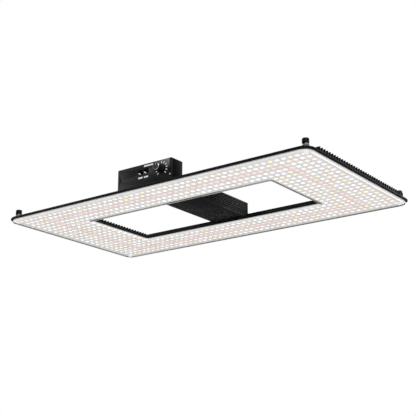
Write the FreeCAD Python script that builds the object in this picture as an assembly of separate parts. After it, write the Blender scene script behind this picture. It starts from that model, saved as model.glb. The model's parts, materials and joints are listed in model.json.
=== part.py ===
import FreeCAD, Part
import math
import os
from FreeCAD import Vector

# Hanging LED grow light: a rectangular ring of light with an open middle. Millimetres, +Z up.
# X runs along the long side, and the control box stands at the -Y long side.
# The origin is under the middle of the ring, on the flat face of the clear cover.

# ---- Driving dimensions ----
PITCH_X = 12.5                    # from one LED column to the next
PITCH_Y = 15.0                    # from one LED row to the next
COLUMNS, ROWS = 51, 22            # the whole grid, before the open middle is taken out
BAR_COLUMNS, BAR_ROWS = 9, 5      # LEDs across a short bar and across a long bar
RED_INSET_X, RED_INSET_Y = 4, 2   # the red rectangle, in columns and rows from the outside

HALF_X, HALF_Y, CORNER_R = 329.0, 173.8, 16.0       # outline of the clear cover
BASE_OUT = 4.2                                      # the heat sink stands out this far all round it
OPEN_X, OPEN_Y, OPEN_R = 203.75, 84.1, 4.5          # half sizes of the open middle

COVER_T, COVER_WALL, COVER_LEDGE = 1.5, 1.6, 3.6    # clear cover: sheet, rim wall, ledge width
LED_SIZE, LED_H = 3.0, 0.7
BOARD_Z0, BOARD_Z1 = 3.4, 5.0                       # circuit board, bottom and top
BASE_Z1 = 8.0                                       # top of the heat sink's base
LIP_Z = 6.2                                         # the cover's inner wall reaches up to here
RIM_Z, RIM_W, RIM_SLOPE = 9.0, 3.2, 2.0             # raised rim round the heat sink, sloped outside
FIN_Z, FIN_T, FIN_PITCH = 14.2, 1.6, 8.0
FIN_IN, FIN_OUT = 204.0, 332.8                      # a short bar's fins run from here to here
FIN_FOOT = 6.6                                      # they are rooted this deep, below the rim's slope
FIN_LAST = 18                                       # number of fins on each side of the middle one
SEAL_W = 1.0

POST_X, POST_Y, POST_TOP = 317.6, 161.6, 24.9       # hanging posts
POST_R, POST_NECK_R, POST_NECK_Z = 5.9, 5.1, 12.5
EYE_R, EYE_Z = 2.75, 16.8                           # cross hole for a hanger's hook
WASHER_T = 0.8

BOX_LEFT, BOX_RIGHT, BOX_TOP, BOX_T = -61.4, 59.0, 49.9, 1.5   # control box: sides, top, wall
PANEL_FRONT, PANEL_T, BOX_REAR = -166.5, 1.5, -137.0
PANEL_BACK = PANEL_FRONT + PANEL_T
BOX_SCREW_X, BOX_SCREW_Y = 53.0, -151.0
PANEL_SCREW_X, PANEL_SCREW_Z = 54.5, 29.0
CONTROL_BOARD_Y, CONTROL_BOARD_T = -151.4, 1.6

DIAL_X, DIAL_Z = 37.2, 33.9                         # axis of the dimmer
KNOB_R, KNOB_BACK, KNOB_TIP = 7.5, -167.0, -182.3
KNOB_CAP_R, KNOB_CAP_SINK, KNOB_CAP_PROUD = 6.8, 0.6, 0.3   # metal cap let into the knob
SHAFT_R, BUSH_R, SHAFT_GAP = 3.0, 3.5, 0.05
SHAFT_TIP, SHAFT_END, FLAT_END, FLAT_H = -178.0, -161.0, -171.0, 1.8   # shaft with a flat
PORT_X = (-9.6, 2.9)                                # middles of the two data ports
PORT_Z, PORT_W, PORT_H = 36.8, 11.0, 8.2
LAMP_X, LAMP_Z, LAMP_R = 55.5, 20.5, 1.7            # indicator

DRIVER_X, DRIVER_Z0, DRIVER_Z1 = 36.0, 9.0, 38.4    # power supply housing
DRIVER_Y0, DRIVER_Y1, CAP_T, GASKET_T = -136.5, 95.0, 3.0, 0.8
CASE_Y0 = DRIVER_Y0 + CAP_T + GASKET_T
CASE_Y1 = DRIVER_Y1 - CAP_T - GASKET_T
CASE_WALL, RIB_PITCH, RIB_GROOVE = 3.2, 3.4, 1.0
BOSS_X, BOSS_Z, BOSS_R = 30.5, (14.0, 31.5), 3.2    # screw channels inside the housing
FOOT_X, FOOT_TOP = 47.0, 10.0
FRONT_FEET = [(-42.0, -130.5), (42.0, -130.5)]
REAR_FEET = [(-22.0, 101.5), (22.0, 101.5)]
DRIVER_BOARD_Z, DRIVER_BOARD_T = 17.2, 1.6

LEAD_X, LEAD_Z, LEAD_R, LEAD_BEND_R = -22.0, 20.0, 2.2, 6.0
LEAD_DROP_Y = -151.0
TERMINAL_TOP = 9.8
GLAND_X, GLAND_Z, GLAND_BORE = -47.5, 29.0, 3.3

M3_R, M3_HOLE_R = 1.45, 1.5
X_AXIS, Y_AXIS, Z_AXIS = Vector(1, 0, 0), Vector(0, 1, 0), Vector(0, 0, 1)


# ---- Small helpers ----
def box(x0, x1, y0, y1, z0, z1):
    return Part.makeBox(x1 - x0, y1 - y0, z1 - z0, Vector(x0, y0, z0))


def rod(start, direction, radius, length):
    return Part.makeCylinder(radius, length, Vector(*start), direction)


def fuse(shapes):
    return shapes[0].multiFuse(shapes[1:]).removeSplitter() if len(shapes) > 1 else shapes[0]


def cut(shape, tools):
    return shape.cut(tools)


def group(shapes):
    return Part.makeCompound(shapes)


def rounded_slab(half_x, half_y, radius, z0, z1):
    slab = box(-half_x, half_x, -half_y, half_y, z0, z1)
    uprights = [e for e in slab.Edges if abs(e.tangentAt(e.FirstParameter).z) > 0.9]
    return slab.makeFillet(radius, uprights)


def ring_slab(inset, grow, z0, z1):
    """The cover's ring outline, narrowed by inset outside and by grow round the open middle."""
    outer = rounded_slab(HALF_X - inset, HALF_Y - inset, CORNER_R - inset, z0, z1)
    middle = rounded_slab(OPEN_X + grow, OPEN_Y + grow, OPEN_R + grow, z0 - 1, z1 + 1)
    return outer.cut(middle)


def hex_prism(start, direction, flats, length):
    corner = flats / math.sqrt(3)
    points = [Vector(corner * math.cos(math.radians(60 * k)), corner * math.sin(math.radians(60 * k)), 0)
              for k in range(7)]
    prism = Part.Face(Part.makePolygon(points)).extrude(Vector(0, 0, length))
    return put(prism, start, direction)


def put(shape, position, direction):
    """Turn a shape that was built along +Z so that it points along direction."""
    placed = shape.copy()
    placed.Placement = FreeCAD.Placement(Vector(*position), FreeCAD.Rotation(Z_AXIS, direction))
    return placed


def flush_screw(position, direction, head_r, head_h, shank_r, length):
    """Countersunk screw: its flat face is at position and its shank runs along direction."""
    head = Part.makeCone(head_r, shank_r, head_h)
    shank = Part.makeCylinder(shank_r, length)
    socket = hex_prism((0, 0, -0.1), Z_AXIS, head_r * 0.75, head_h * 0.6 + 0.1)
    return put(fuse([head, shank]).cut(socket), position, direction)


def flush_hole(position, direction, head_r, head_h, hole_r, length):
    """The hole for a countersunk screw, a hair wider than the screw."""
    sink = Part.makeCone(head_r + 0.1, hole_r, head_h + 0.1)
    return put(fuse([sink, Part.makeCylinder(hole_r, length)]), position, direction)


def pan_screw(position, direction, head_r, head_h, shank_r, length):
    """Round-headed screw: the underside of its head is at position."""
    head = Part.makeCylinder(head_r, head_h, Vector(0, 0, -head_h))
    top = [e for e in head.Edges if abs(e.BoundBox.ZMin + head_h) < 1e-6 and e.BoundBox.ZLength < 1e-6]
    head = head.makeFillet(head_h * 0.45, top)
    shank = Part.makeCylinder(shank_r, length)
    socket = hex_prism((0, 0, -head_h - 0.1), Z_AXIS, head_r * 0.8, head_h * 0.6 + 0.1)
    return put(fuse([head, shank]).cut(socket), position, direction)


def save(name, shape):
    shape.exportStep(f"parts/{name}.step")
    print(f"{name:24s} solids {len(shape.Solids):4d}  volume {shape.Volume / 1000:9.3f} cm3")


# ---- Places that several pieces share ----
def corners():
    return [(sx * POST_X, sy * POST_Y) for sx in (-1, 1) for sy in (-1, 1)]


def board_screw_places():
    long_bars = [(x * PITCH_X, sy * 8 * PITCH_Y)
                 for x in (-23.5, -15.5, -7.5, 0.5, 7.5, 15.5, 23.5) for sy in (-1, 1)]
    short_bars = [(sx * 20.5 * PITCH_X, y * PITCH_Y) for sx in (-1, 1) for y in (-4, 0, 4)]
    return long_bars + short_bars


def led_places():
    """Every LED as (x, y, colour): a red rectangle in a speckle of white and warm white."""
    places = []
    for column in range(COLUMNS):
        for row in range(ROWS):
            in_x = BAR_COLUMNS <= column < COLUMNS - BAR_COLUMNS
            in_y = BAR_ROWS <= row < ROWS - BAR_ROWS
            if in_x and in_y:
                continue
            from_x = min(column, COLUMNS - 1 - column)
            from_y = min(row, ROWS - 1 - row)
            red_side = from_x == RED_INSET_X and from_y >= RED_INSET_Y
            red_end = from_y == RED_INSET_Y and from_x >= RED_INSET_X
            speckle = (column * 7 + row * 11 + (column * row) // 3) % 8
            colour = "red" if red_side or red_end else "warm" if speckle in (0, 3, 5) else "white"
            places.append((PITCH_X * (column - (COLUMNS - 1) / 2), PITCH_Y * (row - (ROWS - 1) / 2), colour))
    return places


# ---- The light ring ----
def make_lens_cover():
    slab = ring_slab(0, 0, 0, BOARD_Z1)
    underside = [e for e in slab.Edges if e.BoundBox.ZMax < 1e-6]
    slab = slab.makeFillet(0.8, underside)
    lip = rounded_slab(OPEN_X + COVER_WALL, OPEN_Y + COVER_WALL, OPEN_R + COVER_WALL, BOARD_Z1, LIP_Z)
    lip = lip.cut(rounded_slab(OPEN_X, OPEN_Y, OPEN_R, BOARD_Z1 - 1, LIP_Z + 1))
    hollow = ring_slab(COVER_LEDGE, COVER_LEDGE, COVER_T, BOARD_Z0)
    seat = ring_slab(COVER_WALL, COVER_WALL, BOARD_Z0, BOARD_Z1)
    bosses = [rod((x, y, COVER_T), Z_AXIS, 4.0, BOARD_Z0 - COVER_T) for x, y in corners()]
    holes = [flush_hole((x, y, 0), Z_AXIS, 3.6, 1.7, 2.1, BOARD_Z1) for x, y in corners()]
    return cut(fuse([cut(slab, [hollow, seat]), lip] + bosses), holes)


def make_led_board():
    board = ring_slab(COVER_WALL + SEAL_W, COVER_WALL + SEAL_W, BOARD_Z0, BOARD_Z1)
    holes = [rod((x, y, 0), Z_AXIS, 2.1, 10) for x, y in corners()]
    holes += [rod((x, y, 0), Z_AXIS, 1.6, 10) for x, y in board_screw_places()]
    return cut(board, holes)


def make_leds(colour):
    half = LED_SIZE / 2
    return group([box(x - half, x + half, y - half, y + half, BOARD_Z0 - LED_H, BOARD_Z0)
                  for x, y, c in led_places() if c == colour])


def make_cover_seals():
    outer = rounded_slab(HALF_X - COVER_WALL, HALF_Y - COVER_WALL, CORNER_R - COVER_WALL, BOARD_Z0, BOARD_Z1)
    outer = outer.cut(rounded_slab(HALF_X - COVER_WALL - SEAL_W, HALF_Y - COVER_WALL - SEAL_W,
                                   CORNER_R - COVER_WALL - SEAL_W, 0, 10))
    inner = rounded_slab(OPEN_X + COVER_WALL + SEAL_W, OPEN_Y + COVER_WALL + SEAL_W,
                         OPEN_R + COVER_WALL + SEAL_W, BOARD_Z0, BOARD_Z1)
    inner = inner.cut(rounded_slab(OPEN_X + COVER_WALL, OPEN_Y + COVER_WALL, OPEN_R + COVER_WALL, 0, 10))
    return group([outer, inner])


def make_board_screws():
    return group([pan_screw((x, y, BOARD_Z0), Z_AXIS, 2.4, 1.2, M3_R, 4.0) for x, y in board_screw_places()])


def make_heat_sink():
    half_x, half_y, corner_r = HALF_X + BASE_OUT, HALF_Y + BASE_OUT, CORNER_R + BASE_OUT
    plate = rounded_slab(half_x, half_y, corner_r, BOARD_Z1, RIM_Z)
    top_edges = [e for e in plate.Edges if e.BoundBox.ZMin > RIM_Z - 1e-6]
    plate = plate.makeChamfer(RIM_SLOPE, top_edges)
    tray = rounded_slab(half_x - RIM_W, half_y - RIM_W, corner_r - RIM_W, BASE_Z1, RIM_Z + 1)
    plate = cut(plate, [tray, rounded_slab(OPEN_X, OPEN_Y, OPEN_R, 0, RIM_Z + 1)])
    fins = []
    for k in range(-FIN_LAST, FIN_LAST + 1):
        y0, y1 = k * FIN_PITCH - FIN_T / 2, k * FIN_PITCH + FIN_T / 2
        if min(abs(y0), abs(y1)) > OPEN_Y:
            fins.append(box(-FIN_OUT, FIN_OUT, y0, y1, FIN_FOOT, FIN_Z))
            continue
        fins.append(box(-FIN_OUT, -FIN_IN, y0, y1, FIN_FOOT, FIN_Z))
        fins.append(box(FIN_IN, FIN_OUT, y0, y1, FIN_FOOT, FIN_Z))
    body = fuse([plate] + fins)
    lip = rounded_slab(OPEN_X + COVER_WALL, OPEN_Y + COVER_WALL, OPEN_R + COVER_WALL, BOARD_Z1 - 1, LIP_Z)
    tools = [
        lip,
        box(BOX_LEFT - 3, BOX_RIGHT + 3, -150, -124, BASE_Z1, 20),              # control box and front feet
        box(-DRIVER_X - 0.6, DRIVER_X + 0.6, -125, 110, BASE_Z1, 20),           # power supply
        box(LEAD_X - 8, LEAD_X + 8, LEAD_DROP_Y - 5, LEAD_DROP_Y + 5, 0, 20),   # window for the terminal
    ]
    tools += [rod((x, y, 0), Z_AXIS, 2.1, 20) for x, y in corners()]
    tools += [rod((x, y, 4), Z_AXIS, M3_HOLE_R, 3.5) for x, y in board_screw_places()]
    tools += [rod((x, y, 5.4), Z_AXIS, M3_HOLE_R, 5) for x, y in FRONT_FEET + REAR_FEET]
    tools += [rod((sx * BOX_SCREW_X, BOX_SCREW_Y, 5.4), Z_AXIS, M3_HOLE_R, 5) for sx in (-1, 1)]
    return cut(body, tools)


# ---- Hanging posts ----
def make_hanging_posts():
    posts = []
    for x, y in corners():
        neck = rod((x, y, BASE_Z1 + WASHER_T), Z_AXIS, POST_NECK_R, POST_NECK_Z - BASE_Z1 - WASHER_T + 1)
        head = rod((x, y, POST_NECK_Z), Z_AXIS, POST_R, POST_TOP - POST_NECK_Z)
        rims = [e for e in head.Edges if e.BoundBox.ZLength < 1e-6]
        head = head.makeChamfer(0.7, rims)
        eye = rod((x, y - 10, EYE_Z), Y_AXIS, EYE_R, 20)
        thread = rod((x, y, 0), Z_AXIS, 2.0, 13.4)
        posts.append(cut(fuse([neck, head]), [eye, thread]))
    return group(posts)


def make_post_washers():
    return group([rod((x, y, BASE_Z1), Z_AXIS, POST_R, WASHER_T).cut(rod((x, y, 0), Z_AXIS, 2.1, 20))
                  for x, y in corners()])


def make_post_screws():
    return group([flush_screw((x, y, 0), Z_AXIS, 3.6, 1.7, 1.95, 13.2) for x, y in corners()])


# ---- Power supply ----
def ribbed_outline():
    """Cross-section of the housing: flat underneath, grooved on both sides and on top."""
    left_to_right = [(DRIVER_X, DRIVER_Z0)]
    z = DRIVER_Z0 + RIB_PITCH
    while z + RIB_PITCH < DRIVER_Z1:
        left_to_right += [(DRIVER_X, z), (DRIVER_X - RIB_GROOVE, z),
                          (DRIVER_X - RIB_GROOVE, z + RIB_PITCH / 2), (DRIVER_X, z + RIB_PITCH / 2)]
        z += RIB_PITCH
    left_to_right.append((DRIVER_X, DRIVER_Z1))
    x = DRIVER_X - RIB_PITCH
    while x > RIB_PITCH / 2:
        left_to_right += [(x, DRIVER_Z1), (x, DRIVER_Z1 - RIB_GROOVE),
                          (x - RIB_PITCH / 2, DRIVER_Z1 - RIB_GROOVE), (x - RIB_PITCH / 2, DRIVER_Z1)]
        x -= RIB_PITCH
    return left_to_right + [(-px, pz) for px, pz in reversed(left_to_right)]


def make_driver_case():
    points = [Vector(x, CASE_Y0, z) for x, z in ribbed_outline()]
    length = CASE_Y1 - CASE_Y0
    shell = Part.Face(Part.makePolygon(points + points[:1])).extrude(Vector(0, length, 0))
    hollow = box(-DRIVER_X + CASE_WALL, DRIVER_X - CASE_WALL, CASE_Y0 - 1, CASE_Y1 + 1,
                 DRIVER_Z0 + 2.5, DRIVER_Z1 - CASE_WALL)
    channels = [rod((sx * BOSS_X, CASE_Y0, z), Y_AXIS, BOSS_R, length) for sx in (-1, 1) for z in BOSS_Z]
    holes = [rod((sx * BOSS_X, CASE_Y0 - 1, z), Y_AXIS, M3_HOLE_R, length + 2) for sx in (-1, 1) for z in BOSS_Z]
    return cut(fuse([shell.cut(hollow)] + channels), holes)


def end_screw_holes(face_y, direction):
    return [flush_hole((sx * BOSS_X, face_y, z), direction, 2.8, 1.5, 1.6, 8) for sx in (-1, 1) for z in BOSS_Z]


def make_driver_front_cap():
    y0, y1 = DRIVER_Y0, DRIVER_Y0 + CAP_T
    plate = box(-DRIVER_X, DRIVER_X, y0, y1, DRIVER_Z0, DRIVER_Z1)
    sill = box(-FOOT_X, FOOT_X, y0, y1, BASE_Z1, 12.0)
    feet = [box(DRIVER_X + 0.3, FOOT_X, y0, y0 + 11, BASE_Z1, FOOT_TOP),
            box(-FOOT_X, -DRIVER_X - 0.3, y0, y0 + 11, BASE_Z1, FOOT_TOP)]
    holes = [rod((x, y, 0), Z_AXIS, 1.7, 20) for x, y in FRONT_FEET]
    holes.append(rod((LEAD_X, y0 - 1, LEAD_Z), Y_AXIS, LEAD_R, 10))
    return cut(fuse([plate, sill] + feet), holes + end_screw_holes(y0, Y_AXIS))


def make_driver_rear_cap():
    y0, y1 = DRIVER_Y1 - CAP_T, DRIVER_Y1
    plate = box(-DRIVER_X, DRIVER_X, y0, y1, BASE_Z1, DRIVER_Z1)
    foot = box(-30, 30, y0, y1 + 12, BASE_Z1, FOOT_TOP)
    holes = [rod((x, y, 0), Z_AXIS, 1.7, 20) for x, y in REAR_FEET]
    return cut(fuse([plate, foot]), holes + end_screw_holes(y1, -Y_AXIS))


def make_end_cap_gaskets():
    gaskets = []
    for y in (DRIVER_Y0 + CAP_T, CASE_Y1):
        sheet = box(-DRIVER_X + 1, DRIVER_X - 1, y, y + GASKET_T, DRIVER_Z0, DRIVER_Z1 - 1)
        window = box(-BOSS_X + 5, BOSS_X - 5, y - 1, y + 2, DRIVER_Z0 + 5, DRIVER_Z1 - 5)
        holes = [rod((sx * BOSS_X, y - 1, z), Y_AXIS, 1.6, 3) for sx in (-1, 1) for z in BOSS_Z]
        gaskets.append(cut(sheet, [window] + holes))
    return group(gaskets)


def make_end_cap_screws():
    ends = ((DRIVER_Y0, Y_AXIS), (DRIVER_Y1, -Y_AXIS))
    return group([flush_screw((sx * BOSS_X, y, z), way, 2.8, 1.5, M3_R, 12)
                  for y, way in ends for sx in (-1, 1) for z in BOSS_Z])


def make_driver_foot_screws():
    return group([pan_screw((x, y, FOOT_TOP), -Z_AXIS, 2.8, 1.9, M3_R, 4.4) for x, y in FRONT_FEET + REAR_FEET])


def make_driver_pads():
    near = box(-DRIVER_X + 2, DRIVER_X - 2, -130, -OPEN_Y - 2, BASE_Z1, DRIVER_Z0)
    far = box(-DRIVER_X + 2, DRIVER_X - 2, OPEN_Y + 2, CASE_Y1 - 0.5, BASE_Z1, DRIVER_Z0)
    return group([near, far])


def make_driver_circuit_board():
    return box(-32.6, 32.6, CASE_Y0 + 3, CASE_Y1 - 3, DRIVER_BOARD_Z, DRIVER_BOARD_Z + DRIVER_BOARD_T)


def make_driver_transformer():
    z = DRIVER_BOARD_Z + DRIVER_BOARD_T
    core = box(-17, 17, -50, -18, z + 1.5, z + 12.5)
    bobbin = [box(-13, 13, -54, -14, z, z + 2), box(-11, 11, -52, -16, z + 1, z + 14)]
    return fuse([core] + bobbin)


def make_driver_choke():
    z = DRIVER_BOARD_Z + DRIVER_BOARD_T
    ring = rod((0, -95, z), Z_AXIS, 11, 11).cut(rod((0, -95, z - 1), Z_AXIS, 4.5, 13))
    return ring.makeFillet(2.0, [e for e in ring.Edges if e.BoundBox.ZLength < 1e-6])


def make_driver_capacitors():
    z = DRIVER_BOARD_Z + DRIVER_BOARD_T
    cans = []
    for x, y, radius, length in ((-12, 8, 6.5, 26), (6, 8, 6.5, 26), (-16, 52, 5, 20), (-2, 52, 5, 20), (12, 52, 5, 20)):
        cans.append(rod((x, y, z + radius), Y_AXIS, radius, length))
    return group(cans)


def make_blank_label():
    return box(-26, 26, -40, 40, DRIVER_Z1, DRIVER_Z1 + 0.3)


# ---- Control box ----
def make_control_box_shell():
    outer = box(BOX_LEFT, BOX_RIGHT, PANEL_BACK, BOX_REAR, BASE_Z1, BOX_TOP)
    long_edges = [e for e in outer.Edges if e.BoundBox.YLength > 1 and e.BoundBox.ZMin > BOX_TOP - 1]
    outer = outer.makeFillet(1.0, long_edges)
    hollow = box(BOX_LEFT + BOX_T, BOX_RIGHT - BOX_T, PANEL_BACK - 1, BOX_REAR - BOX_T, BASE_Z1 - 1, BOX_TOP - BOX_T)
    extras = []
    for side, wall in ((-1, BOX_LEFT + BOX_T), (1, BOX_RIGHT - BOX_T)):
        inner = side * 49.0
        extras.append(box(min(wall, inner), max(wall, inner), -160, -142, BASE_Z1, BASE_Z1 + BOX_T))
        inner = side * 51.5
        extras.append(box(min(wall, inner), max(wall, inner), PANEL_BACK, -157, PANEL_SCREW_Z - 3, PANEL_SCREW_Z + 3))
    holes = [rod((sx * BOX_SCREW_X, BOX_SCREW_Y, 0), Z_AXIS, 1.7, 20) for sx in (-1, 1)]
    holes += [rod((sx * PANEL_SCREW_X, -170, PANEL_SCREW_Z), Y_AXIS, 1.25, 12) for sx in (-1, 1)]
    holes.append(rod((LEAD_X, BOX_REAR - 5, LEAD_Z), Y_AXIS, 4.0, 10))
    holes.append(rod((GLAND_X, BOX_REAR - 5, GLAND_Z), Y_AXIS, 6.0, 10))
    return cut(fuse([outer.cut(hollow)] + extras), holes)


def make_control_panel():
    plate = box(BOX_LEFT, BOX_RIGHT, PANEL_FRONT, PANEL_BACK, BASE_Z1, BOX_TOP)
    corner_edges = [e for e in plate.Edges if e.BoundBox.YLength > 1 and e.BoundBox.ZMin > BOX_TOP - 1]
    plate = plate.makeFillet(1.0, corner_edges)
    holes = [rod((DIAL_X, PANEL_FRONT - 1, DIAL_Z), Y_AXIS, BUSH_R + 0.1, 5),
             rod((LAMP_X, PANEL_FRONT - 1, LAMP_Z), Y_AXIS, LAMP_R + 0.05, 5)]
    for x in PORT_X:
        window = box(x - PORT_W / 2 - 0.35, x + PORT_W / 2 + 0.35, PANEL_FRONT - 1, PANEL_BACK + 1,
                     PORT_Z - PORT_H / 2 - 0.4, PORT_Z + PORT_H / 2 + 0.4)
        holes.append(window.makeFillet(0.8, [e for e in window.Edges if e.BoundBox.YLength > 1]))
    holes += [flush_hole((sx * PANEL_SCREW_X, PANEL_FRONT, PANEL_SCREW_Z), Y_AXIS, 2.3, 1.2, 1.3, 5)
              for sx in (-1, 1)]
    return cut(plate, holes)


def make_panel_screws():
    return group([flush_screw((sx * PANEL_SCREW_X, PANEL_FRONT, PANEL_SCREW_Z), Y_AXIS, 2.3, 1.2, 1.2, 8)
                  for sx in (-1, 1)])


def make_box_screws():
    return group([pan_screw((sx * BOX_SCREW_X, BOX_SCREW_Y, BASE_Z1 + BOX_T), -Z_AXIS, 2.8, 1.9, M3_R, 3.9)
                  for sx in (-1, 1)])


def make_control_circuit_board():
    return box(-18, 49, CONTROL_BOARD_Y, CONTROL_BOARD_Y + CONTROL_BOARD_T, 20.0, 45.5)


def make_data_ports():
    x0, x1 = PORT_X[0] - PORT_W / 2 - 1.2, PORT_X[1] + PORT_W / 2 + 1.2
    housing = box(x0, x1, PANEL_BACK, CONTROL_BOARD_Y, PORT_Z - PORT_H / 2 - 1.3, PORT_Z + PORT_H / 2 + 1.7)
    sockets = []
    for x in PORT_X:
        sockets.append(box(x - PORT_W / 2, x + PORT_W / 2, PANEL_BACK - 1, CONTROL_BOARD_Y - 2.1,
                           PORT_Z - PORT_H / 2, PORT_Z + PORT_H / 2))
        sockets.append(box(x - 3, x + 3, PANEL_BACK - 1, CONTROL_BOARD_Y - 5,
                           PORT_Z - PORT_H / 2 - 0.9, PORT_Z - PORT_H / 2 + 1))
    return cut(housing, sockets)


def make_port_contacts():
    back, top = CONTROL_BOARD_Y - 2.1, PORT_Z + PORT_H / 2
    return group([box(x + (k - 3.5) * 1.02 - 0.2, x + (k - 3.5) * 1.02 + 0.2, back - 8, back, top - 0.9, top - 0.4)
                  for x in PORT_X for k in range(8)])


def make_indicator_lens():
    flange = rod((LAMP_X, PANEL_BACK, LAMP_Z), Y_AXIS, 2.0, 4.0)
    barrel = rod((LAMP_X, PANEL_FRONT - 0.6, LAMP_Z), Y_AXIS, LAMP_R, 5.0)
    front = [e for e in barrel.Edges if e.BoundBox.YLength < 1e-6 and e.BoundBox.YMax < PANEL_FRONT]
    return fuse([barrel.makeFillet(0.5, front), flange])


# ---- Dimmer ----
def make_potentiometer_body():
    can = rod((DIAL_X, PANEL_BACK, DIAL_Z), Y_AXIS, 8.0, 8.0)
    bush = rod((DIAL_X, PANEL_FRONT - 2.1, DIAL_Z), Y_AXIS, BUSH_R, 4.0)
    pins = [box(DIAL_X + dx - 0.5, DIAL_X + dx + 0.5, -158, CONTROL_BOARD_Y, DIAL_Z - 7, DIAL_Z - 6.4)
            for dx in (-3, 0, 3)]
    bore = rod((DIAL_X, PANEL_FRONT - 5, DIAL_Z), Y_AXIS, SHAFT_R + SHAFT_GAP, 11.0)
    return fuse([can, bush] + pins).cut(bore)


def make_potentiometer_nut():
    nut = hex_prism((DIAL_X, PANEL_FRONT, DIAL_Z), -Y_AXIS, 9.5, 1.7)
    return nut.cut(rod((DIAL_X, PANEL_FRONT - 5, DIAL_Z), Y_AXIS, BUSH_R, 10))


def shaft_flat():
    """What is missing from the round shaft along its flat."""
    return box(DIAL_X - 4, DIAL_X + 4, SHAFT_TIP - 1, FLAT_END, DIAL_Z + FLAT_H, DIAL_Z + 4)


def make_dimmer_shaft():
    shaft = rod((DIAL_X, SHAFT_TIP, DIAL_Z), Y_AXIS, SHAFT_R, SHAFT_END - SHAFT_TIP)
    return shaft.cut(shaft_flat())


def make_dimmer_knob():
    knob = rod((DIAL_X, KNOB_BACK, DIAL_Z), -Y_AXIS, KNOB_R, KNOB_BACK - KNOB_TIP)
    front = [e for e in knob.Edges if e.BoundBox.YLength < 1e-6 and e.BoundBox.YMax < KNOB_TIP + 0.1]
    knob = knob.makeFillet(0.5, front)
    grips = []
    for k in range(18):
        turn = math.radians(20 * k + 10)
        grips.append(rod((DIAL_X + (KNOB_R + 0.35) * math.cos(turn), KNOB_TIP - 1,
                          DIAL_Z + (KNOB_R + 0.35) * math.sin(turn)), Y_AXIS, 0.7, KNOB_BACK - KNOB_TIP - 1))
    recess = rod((DIAL_X, KNOB_BACK + 1, DIAL_Z), -Y_AXIS, 6.2, 3.2)
    seat = rod((DIAL_X, KNOB_TIP + KNOB_CAP_SINK, DIAL_Z), -Y_AXIS, KNOB_CAP_R, 2)
    bore = rod((DIAL_X, SHAFT_TIP, DIAL_Z), Y_AXIS, SHAFT_R, KNOB_BACK - SHAFT_TIP + 1).cut(shaft_flat())
    return cut(knob, grips + [recess, seat, bore])


def make_knob_cap():
    face = KNOB_TIP - KNOB_CAP_PROUD
    cap = rod((DIAL_X, KNOB_TIP + KNOB_CAP_SINK, DIAL_Z), -Y_AXIS, KNOB_CAP_R, KNOB_CAP_SINK + KNOB_CAP_PROUD)
    rim = [e for e in cap.Edges if e.BoundBox.YLength < 1e-6 and e.BoundBox.YMax < face + 0.1]
    return cap.makeChamfer(0.6, rim).cut(pointer_bar())


def pointer_bar():
    face = KNOB_TIP - KNOB_CAP_PROUD
    return box(DIAL_X - 0.4, DIAL_X + 0.4, face, face + 0.5, DIAL_Z + 1.8, DIAL_Z + 5.6)


# ---- Leads and cable entry ----
def make_lead_grommet():
    flange = rod((LEAD_X, BOX_REAR - BOX_T, LEAD_Z), -Y_AXIS, 5.0, 1.5)
    barrel = rod((LEAD_X, BOX_REAR, LEAD_Z), -Y_AXIS, 4.0, 3.0)
    return fuse([flange, barrel]).cut(rod((LEAD_X, BOX_REAR + 1, LEAD_Z), -Y_AXIS, LEAD_R, 6))


def make_output_lead():
    start = Vector(LEAD_X, DRIVER_Y0 + 1.5, LEAD_Z)
    turn_in = Vector(LEAD_X, LEAD_DROP_Y + LEAD_BEND_R, LEAD_Z)
    turn_out = Vector(LEAD_X, LEAD_DROP_Y, LEAD_Z - LEAD_BEND_R)
    slant = LEAD_BEND_R * math.sin(math.radians(45))
    middle = Vector(LEAD_X, LEAD_DROP_Y + LEAD_BEND_R - slant, LEAD_Z - LEAD_BEND_R + slant)
    path = Part.Wire([Part.LineSegment(start, turn_in).toShape(),
                      Part.Arc(turn_in, middle, turn_out).toShape(),
                      Part.LineSegment(turn_out, Vector(LEAD_X, LEAD_DROP_Y, TERMINAL_TOP)).toShape()])
    section = Part.Wire(Part.makeCircle(LEAD_R, start, Y_AXIS))
    return path.makePipeShell([section], True, True)


def make_board_terminal():
    return box(LEAD_X - 7, LEAD_X + 7, LEAD_DROP_Y - 4, LEAD_DROP_Y + 4, BOARD_Z1, TERMINAL_TOP)


def make_cable_gland():
    thread = rod((GLAND_X, BOX_REAR, GLAND_Z), -Y_AXIS, 5.95, 8.0)
    collar = hex_prism((GLAND_X, BOX_REAR, GLAND_Z), Y_AXIS, 16.0, 4.5)
    dome = rod((GLAND_X, BOX_REAR + 4.5, GLAND_Z), Y_AXIS, 7.6, 11.0)
    tip = [e for e in dome.Edges if e.BoundBox.YLength < 1e-6 and e.BoundBox.YMin > BOX_REAR + 10]
    dome = dome.makeFillet(3.5, tip)
    return fuse([thread, collar, dome]).cut(rod((GLAND_X, BOX_REAR - 20, GLAND_Z), Y_AXIS, GLAND_BORE, 60))


def make_gland_nut():
    nut = hex_prism((GLAND_X, BOX_REAR - BOX_T, GLAND_Z), -Y_AXIS, 16.0, 4.0)
    return nut.cut(rod((GLAND_X, BOX_REAR, GLAND_Z), -Y_AXIS, 6.0, 10))


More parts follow.
